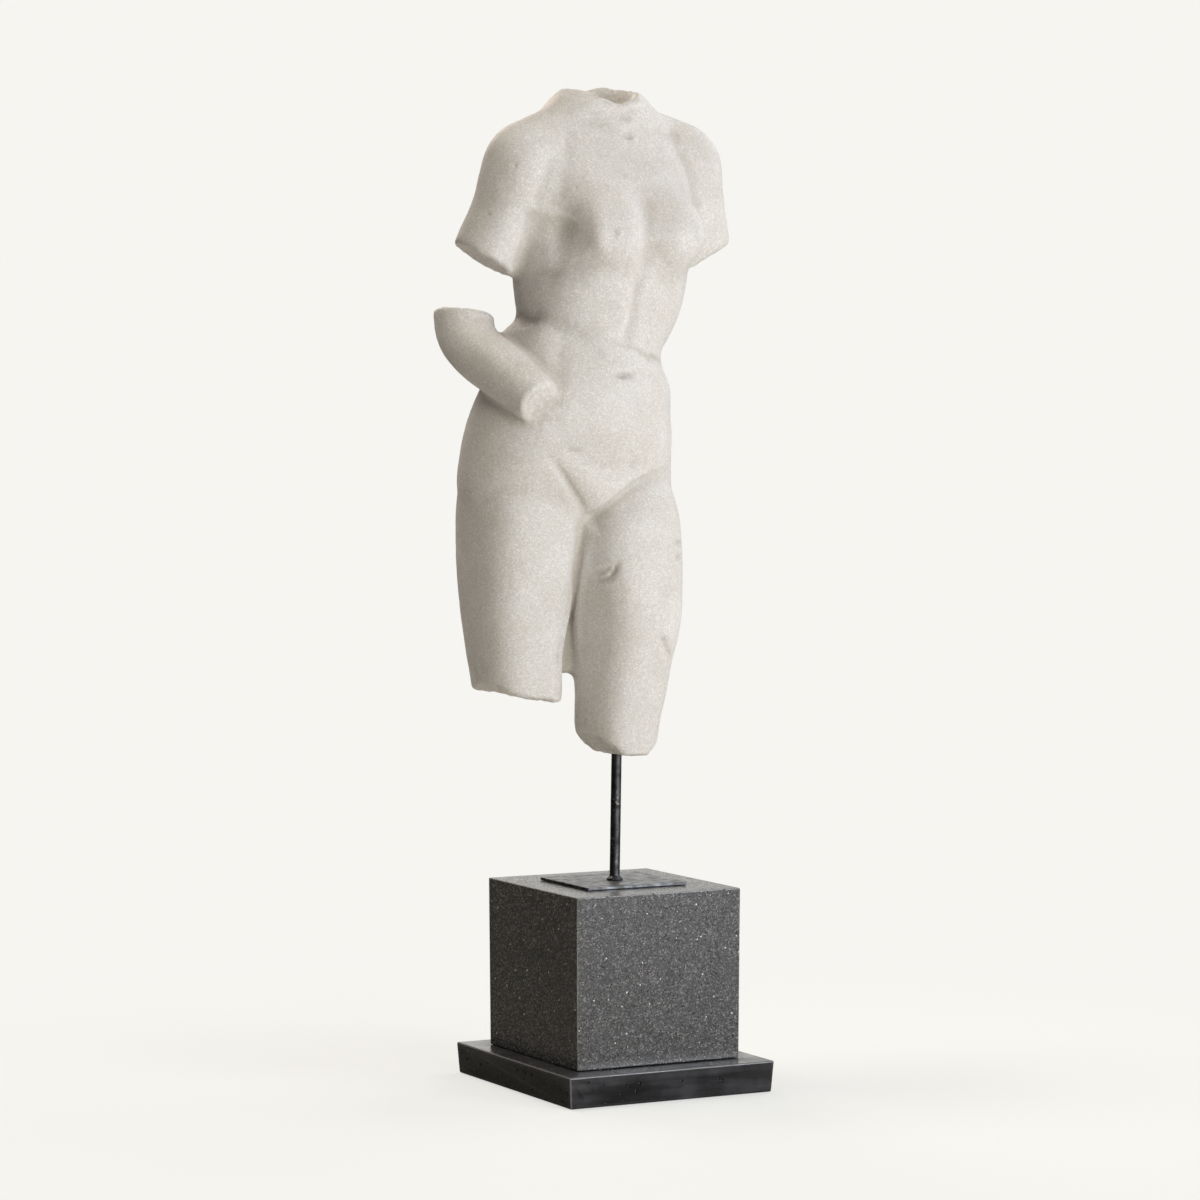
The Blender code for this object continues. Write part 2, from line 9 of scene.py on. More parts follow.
import bpy
import numpy as np
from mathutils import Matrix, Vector, noise


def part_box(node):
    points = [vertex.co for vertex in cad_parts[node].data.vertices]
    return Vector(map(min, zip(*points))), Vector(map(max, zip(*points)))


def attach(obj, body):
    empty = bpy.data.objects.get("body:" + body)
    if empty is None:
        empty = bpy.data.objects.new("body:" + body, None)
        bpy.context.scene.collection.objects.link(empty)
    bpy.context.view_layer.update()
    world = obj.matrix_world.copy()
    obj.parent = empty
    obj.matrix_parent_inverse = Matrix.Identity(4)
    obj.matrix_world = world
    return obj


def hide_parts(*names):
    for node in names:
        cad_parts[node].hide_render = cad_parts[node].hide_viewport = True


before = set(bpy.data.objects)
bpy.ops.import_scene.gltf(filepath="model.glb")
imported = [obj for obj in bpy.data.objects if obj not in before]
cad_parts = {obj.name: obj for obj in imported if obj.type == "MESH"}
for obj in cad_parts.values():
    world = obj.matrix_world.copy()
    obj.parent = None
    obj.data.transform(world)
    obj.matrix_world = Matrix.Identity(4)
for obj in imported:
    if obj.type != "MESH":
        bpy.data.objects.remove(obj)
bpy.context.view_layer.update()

# Camera of the photograph
LENS_MM = 119.22
SENSOR_MM = 36
CAMERA_BEARING = -27.70
CAMERA_ELEVATION = 2.68
CAMERA_DISTANCE = 3.035
CAMERA_TARGET = (-0.00894, 0.00467, 0.37053)

BACKDROP = "F6F5F1"

# Softboxes: name, bearing, elevation, watts and colour
LIGHTS_AIM = (0, 0, 0.42)
LIGHT_DISTANCE = 2.4
LIGHT_SIZE = 0.9
LIGHTS = [
    ("key", 30, 5, 25.6, "F0F5FF"),
    ("front", 0, 5, 20.0, "FFF9E9"),
    ("rear_left_high", -120, 65, 24.1, "FFF6E8"),
    ("rear", -180, 35, 17.0, "FFEEE1"),
    ("right_rear", 120, 35, 10.2, "F2F7FF"),
    ("right_upper", 90, 35, 7.4, "FFF4F2"),
    ("top", 30, 65, 6.0, "FFFBED"),
    ("right", 90, 5, 4.7, "FEFFED"),
]
# A pale card behind the object that only shiny surfaces pick up
REFLECTOR = ("rear_card", 152, 8, 4.0, "F6F5F1")
WORLD_COLOUR = "F4F5F7"
WORLD_FILL = 0.04

# The floor's paper as it lights the object, as the camera sees it and as shiny surfaces see it
FLOOR_PAPER = "E4E2DC"
FLOOR_SEEN = "B0AEA8"
FLOOR_SHINE = "74736E"
# The glow that lifts the paper to the backdrop, and from where to where the paper fades into the backdrop
FLOOR_GLOW = "C4C6C6"
FLOOR_NEAR = 0.2
FLOOR_FAR = 0.7
FLOOR_RADIUS = 30
FLOOR_DROP = 0.0003

# Torso
ROD_EXPOSED = 0.0930
FIGURE_BASE_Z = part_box("mounting_plate")[1].z + ROD_EXPOSED
TORSO_VOXEL = 0.00130
TORSO_EASE_TURNS = 14
TORSO_TRIANGLES = 190000
MM = 0.001

# Slab and block: how much narrower the foot is on each side, the rounding of the edges and how worn they are
SLAB_DRAFT = 0.0016
SLAB_EDGE = 0.0012
SLAB_WEAR = 0.9
BLOCK_DRAFT = 0.0008
BLOCK_EDGE = 0.0009
BLOCK_WEAR = 0.8
WEAR_GAIN = 2.2
WEAR_EVEN = 0.65
WEAR_WAVES = [(9, 0.7)]
WEAR_SEED = 5

# Air holes in the slab: their radii, how deep in the face they lie, how far they keep from the edges and
# the corners, where the cluster at the left of the front ends and the rest starts, and how many there are
HOLE_RADII = (0.0007, 0.0012)
HOLE_INSET = 0.0008
HOLE_EDGE_ROOM = 0.003
SIDE_CORNER_ROOM = 0.006
BACK_CORNER_ROOM = 0.005
CLUSTER_START = 0.004
CLUSTER_END = 0.062
REST_START = 0.07
LEFT_HOLES, CLUSTER_HOLES, REST_HOLES, RIGHT_HOLES, BACK_HOLES = 26, 14, 4, 12, 12
HOLES_SEED = 5

# Nicks in the block's edges: shares of its width, depth and height, and the radius
BLOCK_NICKS = [
    ((0.9993, 0.0007, 0.11), 0.0013),
    ((0.9993, 0.0007, 0.30), 0.0013),
    ((0.9993, 0.0007, 0.72), 0.0013),
    ((0, 0, 0.20), 0.0010),
    ((0, 0, 0.55), 0.0010),
    ((0, 0, 0.83), 0.0010),
    ((0.18, 0, 1), 0.0011),
    ((0.46, 0, 1), 0.0011),
    ((0.90, 0, 1), 0.0011),
    ((0, 0.25, 1), 0.0011),
    ((0, 0.70, 1), 0.0011),
]

# Rod. The lumps of its weld fade out towards the weld's top and foot, and are sunk by a share of their height
ROD_VOXEL = 0.00045
ROD_EASE_TURNS = 4
ROD_WAVES = [(1.6, 0.05)]
ROD_SEED = 9
WELD_TOP = 0.0032
WELD_FADE = 0.0012
WELD_FOOT_FADE = 0.0005
WELD_WAVES = [(2.6, 0.7), (1.1, 0.3)]
WELD_SINK = 0.6
WELD_SEED = 4

# Sizes of the grains and stains in the materials, in millimetres, and the share of grains that are bright
MARBLE_GRAIN_MM = 0.95
MARBLE_STAIN_MM = 30
MARBLE_TOOTH_MM = 1.4
GRIT_MM = 0.85
SPARKLE_MM = 1.0
SPARKLE_SHARE = 0.0015
# Slab wax clouds and streaks, whose lighter colour is partly a painted sheen
CLOUD_MM = 26
SHEEN_STREAK_MM = (90, 90, 9)
MOTTLE_MM = 7
SCALE_SPECK_MM = 1.2
SCALE_SPECK_SHARE = 0.03

# Each swell or hollow: bearing it is worked from, distance across, height, half width, half height, rise.
SWELLS = [
    ("right breast side", CAMERA_BEARING, -12, 402, 8.5, 20, 3.0),
    ("armpit", CAMERA_BEARING, -37, 410, 13, 20, -3.6),
    ("waist crease", CAMERA_BEARING, -66, 331, 14, 5, 1.4),
    ("left breast side", CAMERA_BEARING, 46, 400, 9, 20, 2.0),
    ("between the breasts", CAMERA_BEARING, 27, 396, 6, 20, -1.2),
    ("navel", CAMERA_BEARING, 6.6, 292.8, 3.0, 1.3, -1.3),
    ("navel lid", CAMERA_BEARING, 6.6, 296.2, 5.0, 2.0, 0.6),
    ("right nipple", CAMERA_BEARING, 4.6, 397.5, 2.4, 2.4, 1.1),
    ("left nipple", CAMERA_BEARING, 64, 400, 2.4, 2.4, 1.2),
    ("pit above the waist", CAMERA_BEARING, 26, 316.5, 1.1, 1.1, -1.6),
    ("pit in the groin", CAMERA_BEARING, -34, 211, 1.1, 1.1, -1.4),
    ("dimple over the groin", CAMERA_BEARING, -28, 236, 6, 4, -0.7),
    ("waist lip", CAMERA_BEARING, 33, 299, 4, 6, 1.0),
    ("jugular pit", CAMERA_BEARING, 11.5, 474, 2.6, 2.4, -1.0),
    ("pit on the arm", CAMERA_BEARING, -93, 412, 1.1, 1.1, -0.9),
    ("pit on the shoulder", CAMERA_BEARING, -73, 448, 1.1, 1.1, -0.9),
    ("pit on the chest", CAMERA_BEARING, -28, 432, 1.1, 1.1, -0.9),
    ("pit over the breast", CAMERA_BEARING, -23, 440, 1.0, 1.0, -0.8),
    ("thigh side notch", CAMERA_BEARING, 51, 166, 3.0, 2.8, -2.0),
    ("thigh side nick", CAMERA_BEARING, 49.5, 155, 1.8, 2.2, -1.3),
    ("hip nick", CAMERA_BEARING, -119, 171, 1.6, 2.2, -1.0),
]
# Each groove: bearing, widths to the left and right of its path, depth, then distances across and heights.
# One with a depth below 0 is a ridge.
GROOVES = [
    ("fracture", CAMERA_BEARING, 0.9, 0.9, 0.8, [(-7, 319.5), (5, 315.5), (17, 312.5), (24, 308), (29, 299)]),
    ("fracture end", CAMERA_BEARING, 1.6, 1.6, 2.0, [(28, 307), (33, 305), (40, 300)]),
    ("right groin", CAMERA_BEARING, 2.2, 1.2, 1.0, [(-40, 222), (-34, 212), (-27, 200), (-20, 186)]),
    ("left groin", CAMERA_BEARING, 1.4, 4, 1.2, [(-20, 184), (-8, 193), (8, 205), (22, 214)]),
    ("inner thigh", CAMERA_BEARING, 1.6, 4.0, 0.9, [(-22, 184), (-27, 160), (-31, 131), (-38, 92)]),
    ("thigh web", CAMERA_BEARING, 4, 3, -1.9, [(-19, 178), (-21, 149), (-26, 126), (-28, 108), (-28, 70)]),
    ("thigh chip", CAMERA_BEARING, 3.0, 1.2, 2.2, [(2.4, 152), (0, 146), (-4, 141), (-9, 139.4), (-15, 139)]),
    ("thigh notch", CAMERA_BEARING, 2.4, 1.6, 2.0, [(36, 97), (40, 88), (44, 79)]),
    ("neck step", CAMERA_BEARING, 1.4, 2.4, 1.0, [(-16, 505), (-8, 501), (2, 498)]),
]
# Each break: a point on it, the way it faces, its reach, and how deep its roughness goes.
BREAKS = [
    ("neck", (1, 10, 506), (0, -0.1, 1), 44, 1.3),
    ("right arm", (-103, 12, 378), (-0.48, 0.1, -0.84), 34, 0.9),
    ("left arm", (93, 35, 381), (0.47, -0.2, -0.84), 34, 0.9),
    ("forearm top", (-110, 33, 341), (0.14, 0.1, 1), 30, 1.1),
    ("forearm end", (-87.6, -52, 271.5), (0.3, -0.8, -0.55), 24, 0.9),
    ("right thigh", (-73, 14, 48), (0, 0, -1), 50, 1.4),
    ("left thigh", (2, -2, 4), (0, 0, -1), 42, 1.4),
]
# Each scuffed patch: bearing, distance across, height, half width, half height, depth.
SCUFFS = [
    ("left shoulder", CAMERA_BEARING, 70, 461, 5, 3.5, 0.9),
    ("right knee side", CAMERA_BEARING, -104, 66, 12, 9, 0.7),
    ("left thigh foot", CAMERA_BEARING, -8, 22, 14, 9, 0.7),
]
# How fast a stroke comes in as the surface turns to its viewer, and how a groove fades towards its ends
FACING_GAIN = 2.5
GROOVE_FADE = 5
GROOVE_END = 0.25
# Waves: size and height. Those of a break are sunk by a share of its roughness.
TOOL_WAVES = [(11, 0.22), (4, 0.10)]
TOOL_SEED = 3
BREAK_WAVES = [(5.5, 0.65), (2.6, 0.35)]
BREAK_SEED = 7
BREAK_SINK = 0.5
# How far a face may turn from the way that its break faces, and how fast the roughness comes in
BREAK_LEAST_FACING = 0.3
BREAK_FACING_GAIN = 3
BREAK_RIM_GAIN = 4
LEAST_ROUGHNESS = 0.02
# Painted warm shade in the hollows: turns of smoothing, and how many metres below the smoothed surface count
# as full
RECESS_SIZES = [(12, 0.00012), (120, 0.0009)]
RECESS_BLUR_TURNS = 3
HOLLOW_SHADE_STRENGTH = 0.28


def linear(colour):
    """An sRGB hex colour as linear red, green, blue and alpha."""
    channels = [int(colour[i : i + 2], 16) / 255 for i in (0, 2, 4)]
    return (*[c / 12.92 if c <= 0.04045 else ((c + 0.055) / 1.055) ** 2.4 for c in channels], 1.0)


def add_node(tree, kind, inputs=None, stops=None, **settings):
    """Adds a node, sets it up and fills its inputs. Stops are a colour ramp's places and colours."""
    node = tree.nodes.new(kind)
    for name, value in settings.items():
        setattr(node, name, value)
    for name, value in (inputs or {}).items():
        if isinstance(value, bpy.types.NodeSocket):
            tree.links.new(value, node.inputs[name])
        else:
            node.inputs[name].default_value = value
    if stops:
        points = node.color_ramp.elements
        while len(points) < len(stops):
            points.new(0.5)
        for point, (place, colour) in zip(points, stops):
            point.position = place
            point.color = linear(colour)
    return node


def new_finish(name):
    """A new material, its tree and its Principled shader."""
    made = bpy.data.materials.new(name)
    made.use_nodes = True
    shader = made.node_tree.nodes["Principled BSDF"]
    return made, made.node_tree, shader


def grain_tones(tree, place, size_mm):
    """Three random tones for every grain of a size, as red, green and blue."""
    grains = add_node(tree, "ShaderNodeTexVoronoi", {"Vector": place, "Scale": 1000 / size_mm})
    return add_node(tree, "ShaderNodeSeparateColor", {"Color": grains.outputs["Color"]}).outputs


def marble_resin():
    """Polyester resin filled with marble dust, cast in a mould and rubbed down by hand. Pale crystals of
    about a millimetre in a greyer binder make the white look grainy and not painted. A little light comes
    through thin edges, and the hollows get a warm painted shade."""
    made, tree, shader = new_finish("marble_dust_resin_cast")
    place = add_node(tree, "ShaderNodeTexCoord").outputs["Object"]
    crystal_colour = add_node(
        tree,
        "ShaderNodeValToRGB",
        {"Fac": grain_tones(tree, place, MARBLE_GRAIN_MM)["Red"]},
        stops=[(0.0, "D1CECC"), (0.4, "DBD9D7"), (0.8, "E1DFDD"), (1.0, "EFEEED")],
    )
    stains = add_node(
        tree, "ShaderNodeTexNoise", {"Vector": place, "Scale": 1000 / MARBLE_STAIN_MM, "Detail": 4.0}
    )
    stain_colour = add_node(
        tree,
        "ShaderNodeValToRGB",
        {"Fac": stains.outputs["Fac"]},
        stops=[(0.32, "F6F4F1"), (0.66, "FFFFFF")],
    )
    body = add_node(
        tree,
        "ShaderNodeMix",
        {6: crystal_colour.outputs["Color"], 7: stain_colour.outputs["Color"], "Factor": 1.0},
        data_type="RGBA",
        blend_type="MULTIPLY",
    )
    # Painted shade: the hollows are tinted a warm grey-brown, most where they lie deepest
    hollow_shade = add_node(tree, "ShaderNodeAttribute", attribute_name="hollow_shade")
    tinted = add_node(
        tree,
        "ShaderNodeMix",
        {"Factor": hollow_shade.outputs["Fac"], 6: body.outputs[2], 7: linear("9C9282")},
        data_type="RGBA",
    )
    tree.links.new(tinted.outputs[2], shader.inputs["Base Color"])
    tooth = add_node(
        tree, "ShaderNodeTexNoise", {"Vector": place, "Scale": 1000 / MARBLE_TOOTH_MM, "Detail": 3.0}
    )
    bump = add_node(
        tree, "ShaderNodeBump", {"Height": tooth.outputs["Fac"], "Strength": 0.2, "Distance": 0.0005}
    )
    tree.links.new(bump.outputs["Normal"], shader.inputs["Normal"])
    shader.inputs["Roughness"].default_value = 0.58
    shader.inputs["IOR"].default_value = 1.5
    shader.inputs["Subsurface Weight"].default_value = 0.2
    shader.inputs["Subsurface Radius"].default_value = (1.0, 0.9, 0.75)
    shader.inputs["Subsurface Scale"].default_value = 0.004
    return made


def granular_resin():
    """Black resin filled with crushed grey stone, cast and left unpolished. Grit of about a millimetre, each
    grain with its own tone and shine, makes the black look like granite. A few flakes are bright, and the
    edges are rubbed lighter."""
    made, tree, shader = new_finish("black_granular_resin_cast")
    place = add_node(tree, "ShaderNodeTexCoord").outputs["Object"]
    grit = grain_tones(tree, place, GRIT_MM)
    grit_colour = add_node(
        tree,
        "ShaderNodeValToRGB",
        {"Fac": grit["Red"]},
        stops=[(0.0, "101011"), (0.3, "1C1C1D"), (0.6, "323233"), (0.85, "545354"), (1.0, "929092")],
    )
    flakes = grain_tones(tree, place, SPARKLE_MM)
    sparkle = add_node(
        tree, "ShaderNodeMath", {0: flakes["Green"], 1: 1 - SPARKLE_SHARE}, operation="GREATER_THAN"
    )
    speckled = add_node(
        tree,
        "ShaderNodeMix",
        {"Factor": sparkle.outputs[0], 6: grit_colour.outputs["Color"], 7: linear("F2F2F4")},
        data_type="RGBA",
    )
    wear = add_node(tree, "ShaderNodeAttribute", attribute_name="wear")
    worn = add_node(
        tree,
        "ShaderNodeMix",
        {"Factor": wear.outputs["Fac"], 6: speckled.outputs[2], 7: linear("A3A1A1")},
        data_type="RGBA",
    )
    tree.links.new(worn.outputs[2], shader.inputs["Base Color"])
    bump = add_node(
        tree, "ShaderNodeBump", {"Height": grit["Red"], "Strength": 0.35, "Distance": 0.0003}
    )
    tree.links.new(bump.outputs["Normal"], shader.inputs["Normal"])
    shine = add_node(tree, "ShaderNodeMapRange", {"Value": grit["Blue"], "To Min": 0.2, "To Max": 0.5})
    tree.links.new(shine.outputs["Result"], shader.inputs["Roughness"])
    shader.inputs["IOR"].default_value = 1.85
    return made


def satin_resin():
    """Black resin cast in a smooth mould and waxed by hand. It looks satin, with cloudy wax marks that run
    along the slab, small air holes, and edges rubbed down to a lighter grey. The wax marks are lighter in
    colour, partly as real wax and partly as a painted sheen."""
    made, tree, shader = new_finish("black_satin_resin_cast")
    place = add_node(tree, "ShaderNodeTexCoord").outputs["Object"]
    along = add_node(
        tree, "ShaderNodeMapping", {"Vector": place, "Scale": tuple(1000 / size for size in SHEEN_STREAK_MM)}
    )
    sheen_streaks = add_node(
        tree, "ShaderNodeTexNoise", {"Vector": along.outputs["Vector"], "Scale": 1.0, "Detail": 6.0}
    )
    clouds = add_node(
        tree, "ShaderNodeTexNoise", {"Vector": place, "Scale": 1000 / CLOUD_MM, "Detail": 5.0}
    )
    wax = add_node(
        tree,
        "ShaderNodeMath",
        {0: sheen_streaks.outputs["Fac"], 1: clouds.outputs["Fac"]},
        operation="MULTIPLY",
    )
    # Painted sheen: the base colour is lighter along the wax streaks and clouds, partly real wax marks and
    # partly the shine that lies along them
    colour = add_node(
        tree,
        "ShaderNodeValToRGB",
        {"Fac": wax.outputs[0]},
        stops=[(0.16, "1A1A1D"), (0.26, "222226"), (0.36, "323237")],
    )
    wear = add_node(tree, "ShaderNodeAttribute", attribute_name="wear")
    worn = add_node(
        tree,
        "ShaderNodeMix",
        {"Factor": wear.outputs["Fac"], 6: colour.outputs["Color"], 7: linear("8C8C90")},
        data_type="RGBA",
    )
    tree.links.new(worn.outputs[2], shader.inputs["Base Color"])
    sheen = add_node(
        tree,
        "ShaderNodeMapRange",
        {"Value": wax.outputs[0], "From Min": 0.14, "From Max": 0.36, "To Min": 0.2, "To Max": 0.4},
    )
    tree.links.new(sheen.outputs["Result"], shader.inputs["Roughness"])
    shader.inputs["IOR"].default_value = 1.52
    return made


def dark_steel(name, darkest, lightest):
    """Mild steel, rolled, welded and oiled black. Mottled bluish and brown gunmetal with pale specks."""
    made, tree, shader = new_finish(name)
    place = add_node(tree, "ShaderNodeTexCoord").outputs["Object"]
    mottle = add_node(
        tree, "ShaderNodeTexNoise", {"Vector": place, "Scale": 1000 / MOTTLE_MM, "Detail": 6.0}
    )
    colour = add_node(
        tree,
        "ShaderNodeValToRGB",
        {"Fac": mottle.outputs["Fac"]},
        stops=[(0.34, darkest), (0.68, lightest)],
    )
    specks = grain_tones(tree, place, SCALE_SPECK_MM)
    speck = add_node(
        tree, "ShaderNodeMath", {0: specks["Blue"], 1: 1 - SCALE_SPECK_SHARE}, operation="GREATER_THAN"
    )
    specked = add_node(
        tree,
        "ShaderNodeMix",
        {"Factor": speck.outputs[0], 6: colour.outputs["Color"], 7: linear("8C8A88")},
        data_type="RGBA",
    )
    tree.links.new(specked.outputs[2], shader.inputs["Base Color"])
    sheen = add_node(
        tree, "ShaderNodeMapRange", {"Value": mottle.outputs["Fac"], "To Min": 0.62, "To Max": 0.3}
    )
    tree.links.new(sheen.outputs["Result"], shader.inputs["Roughness"])
    shader.inputs["Metallic"].default_value = 1.0
    return made


def deselect_all():
    bpy.ops.object.select_all(action="DESELECT")


def make_active(obj):
    deselect_all()
    obj.select_set(True)
    bpy.context.view_layer.objects.active = obj


def vertex_values(mesh, name):
    """Every vertex's position or normal, as rows."""
    values = np.empty(len(mesh.vertices) * 3, np.float32)
    mesh.vertices.foreach_get(name, values)
    return values.reshape(-1, 3).astype(float)


def view_axes(bearing):
    """The directions across and towards a viewer who looks level from a bearing: 0 is the front."""
    a = math.radians(bearing)
    return np.array([math.cos(a), math.sin(a), 0]), np.array([math.sin(a), -math.cos(a), 0])


def way_to(bearing, elevation):
    """The direction from the object to a viewer or a light, from its bearing and elevation in degrees."""
    a, e = math.radians(bearing), math.radians(elevation)
    return Vector((math.sin(a) * math.cos(e), -math.cos(a) * math.cos(e), math.sin(e)))


def distance_to_path(across, height, path):
    """Each point's distance to a bent line, whether it is on its left, and how far along it, 0 to 1."""
    path = np.array(path, float)
    best = np.full(len(across), np.inf)
    place = np.zeros(len(across))
    on_left = np.zeros(len(across), bool)
    points = np.column_stack([across, height])
    for i, (a, b) in enumerate(zip(path, path[1:])):
        t = np.clip((points - a) @ (b - a) / ((b - a) @ (b - a)), 0, 1)
        off = points - a - t[:, None] * (b - a)
        away = np.linalg.norm(off, axis=1)
        nearer = away < best
        place = np.where(nearer, (i + t) / (len(path) - 1), place)
        on_left = np.where(nearer, (b - a)[0] * off[:, 1] - (b - a)[1] * off[:, 0] > 0, on_left)
        best = np.minimum(best, away)
    return best, on_left, place


def merged_copy(node, name):
    """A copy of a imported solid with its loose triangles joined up."""
    piece = bpy.data.objects.new(name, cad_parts[node].data.copy())
    bpy.context.scene.collection.objects.link(piece)
    make_active(piece)
    bpy.ops.object.mode_set(mode="EDIT")
    bpy.ops.mesh.select_all(action="SELECT")
    bpy.ops.mesh.remove_doubles(threshold=0.000001)
    bpy.ops.object.mode_set(mode="OBJECT")
    piece.data.materials.clear()
    return piece


def add_modifier(piece, kind, **settings):
    """Adds a modifier, sets it up and applies it."""
    make_active(piece)
    modifier = piece.modifiers.new(kind.lower(), kind)
    for name, value in settings.items():
        setattr(modifier, name, value)
    bpy.ops.object.modifier_apply(modifier=modifier.name)


def figure_points(mesh):
    """Every vertex in figure millimetres, and its normal."""
    return (vertex_values(mesh, "co") - (0, 0, FIGURE_BASE_Z)) / MM, vertex_values(mesh, "normal")


def move_points(mesh, points):
    """Puts the vertices at points given in metres."""
    mesh.vertices.foreach_set("co", points.astype(np.float32).ravel())
    mesh.update()


def bump_at(points, normals, bearing, across, height, half_width, half_height):
    """A round bump, 0 to 1, on the side that faces a bearing."""
    right, towards = view_axes(bearing)
    facing = np.clip(normals @ towards * FACING_GAIN, 0, 1)
    side = (points @ right - across) / half_width
    up = (points[:, 2] - height) / half_height
    return facing * np.exp(-(side**2) - up**2)


def carve(mesh):
    """The fine strokes, worked along the surface's own normals on the side that faces each one."""
    points, normals = figure_points(mesh)
    rise = np.zeros(len(points))
    for _, *place, amount in SWELLS:
        rise += amount * bump_at(points, normals, *place)
    for _, bearing, left_width, right_width, depth, path in GROOVES:
        right, towards = view_axes(bearing)
        facing = np.clip(normals @ towards * FACING_GAIN, 0, 1)
        away, on_left, place = distance_to_path(points @ right, points[:, 2], path)
        fade = np.clip(np.minimum(place, 1 - place) * GROOVE_FADE, GROOVE_END, 1)
        rise -= depth * fade * facing * np.exp(-((away / np.where(on_left, left_width, right_width)) ** 2))
    points += normals * rise[:, None]
    move_points(mesh, points * MM + (0, 0, FIGURE_BASE_Z))


def waves(points, sizes_and_heights, seed):
    """Lumpy noise at each point, the sum of waves given as size and height."""
    total = np.zeros(len(points))
    for size, height in sizes_and_heights:
        total += [height * noise.noise(Vector(point) / size + Vector((seed, 0, 0))) for point in points]
    return total


def weather(mesh):
    """Slight waves from hand work everywhere, and rough breaks and scuffs, all sunk into the surface."""
    points, normals = figure_points(mesh)
    depth = -sum(height for _, height in TOOL_WAVES) / 2 + waves(points, TOOL_WAVES, TOOL_SEED)
    rough = np.zeros(len(points))
    for _, at, facing, reach, amount in BREAKS:
        away = np.linalg.norm(points - np.array(at), axis=1) / reach
        faced = normals @ np.array(Vector(facing).normalized()) - BREAK_LEAST_FACING
        rim = np.clip((1 - away) * BREAK_RIM_GAIN, 0, 1)
        rough = np.maximum(rough, amount * np.clip(faced * BREAK_FACING_GAIN, 0, 1) * rim)
    for _, *place, amount in SCUFFS:
        rough = np.maximum(rough, amount * bump_at(points, normals, *place))
    broken = rough > LEAST_ROUGHNESS
    depth[broken] += rough[broken] * (waves(points[broken], BREAK_WAVES, BREAK_SEED) - BREAK_SINK)
    points += normals * depth[:, None]
    move_points(mesh, points * MM + (0, 0, FIGURE_BASE_Z))


def smoothed(mesh, values, turns):
    """Values at the vertices, each drawn halfway to its neighbours' mean again and again."""
    ends = np.empty(len(mesh.edges) * 2, np.int32)
    mesh.edges.foreach_get("vertices", ends)
    a, b = ends[0::2], ends[1::2]
    count = np.bincount(a, minlength=len(values)) + np.bincount(b, minlength=len(values))
    for _ in range(turns):
        total = values.copy()
        for column in range(values.shape[1]):
            total[:, column] = np.bincount(a, values[b, column], len(values)) + np.bincount(
                b, values[a, column], len(values)
            )
        values = 0.5 * values + 0.5 * total / count[:, None]
    return values


def paint_hollow_shade(mesh):
    """How far each point lies below its surroundings, kept on the mesh as the strength of the painted warm
    shade in the hollows.
    """
    points = vertex_values(mesh, "co")
    normals = vertex_values(mesh, "normal")
    below = np.zeros(len(points))
    for turns, depth in RECESS_SIZES:
        sunk = ((smoothed(mesh, points, turns) - points) * normals).sum(1) / depth
        below = np.maximum(below, np.clip(sunk, 0, 1))
    below = smoothed(mesh, below[:, None], RECESS_BLUR_TURNS)[:, 0]
    kept = mesh.attributes.new("hollow_shade", "FLOAT", "POINT")
    kept.data.foreach_set("value", (below * HOLLOW_SHADE_STRENGTH).astype(np.float32))


def make_torso():
    """The casting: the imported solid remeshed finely, eased, carved, weathered and then thinned."""
    torso = merged_copy("torso", "torso_casting")
    add_modifier(torso, "REMESH", mode="VOXEL", voxel_size=TORSO_VOXEL)
    add_modifier(torso, "SMOOTH", factor=0.5, iterations=TORSO_EASE_TURNS)
    carve(torso.data)
    weather(torso.data)
    paint_hollow_shade(torso.data)
    triangles = sum(len(face.vertices) - 2 for face in torso.data.polygons)
    add_modifier(torso, "DECIMATE", ratio=TORSO_TRIANGLES / triangles)
    torso.data.materials.append(marble_resin())
    torso.data.shade_smooth()
    return torso


def mark_wear(mesh, draft, edge, strength):
    """How rubbed each point of a box is, 0 to 1: most in the middle of a rounded edge, and unevenly.
    A point's second smallest depth below the box's faces says how near an edge it is."""
    points = vertex_values(mesh, "co")
    low, high = points.min(0), points.max(0)
    inset = draft * (high[2] - points[:, 2]) / (high[2] - low[2])
    depths = np.column_stack(
        [
            points[:, 0] - low[0] - inset,
            high[0] - inset - points[:, 0],
            points[:, 1] - low[1] - inset,
            high[1] - inset - points[:, 1],
            high[2] - points[:, 2],
        ]
    )
    second = np.sort(depths, axis=1)[:, 1]
    rubbed = np.clip(WEAR_GAIN * (1 - second / edge), 0, 1) * strength
    uneven = WEAR_EVEN + waves(points / MM, WEAR_WAVES, WEAR_SEED)
    kept = mesh.attributes.new("wear", "FLOAT", "POINT")
    kept.data.foreach_set("value", np.clip(rubbed * uneven, 0, 1).astype(np.float32))


def hollows_cutter(hollows):
    """Small faceted balls at the given places and radii, joined into one cutter."""
    deselect_all()
    balls = []
    for place, radius in hollows:
        bpy.ops.mesh.primitive_ico_sphere_add(subdivisions=2, radius=radius, location=place)
        balls.append(bpy.context.active_object)
    make_active(balls[0])
    for ball in balls:
        ball.select_set(True)
    bpy.ops.object.join()
    bpy.ops.object.transform_apply(location=True, rotation=True, scale=True)
    return balls[0]


def chipped_copy(node, name, hollows):
    """A copy of a packed box with air holes in its faces and nicks in its edges."""
    box = merged_copy(node, name)
    cutter = hollows_cutter(hollows)
    add_modifier(box, "BOOLEAN", object=cutter, operation="DIFFERENCE", solver="EXACT", use_self=True)
    bpy.data.objects.remove(cutter)
    return box


def scattered(rng, low, high, count, radii):
    """Places strewn over a flat patch between two corners, each with a radius in a range."""
    places = rng.uniform(low, high, (count, 3))
    return [(tuple(place), float(radius)) for place, radius in zip(places, rng.uniform(*radii, count))]


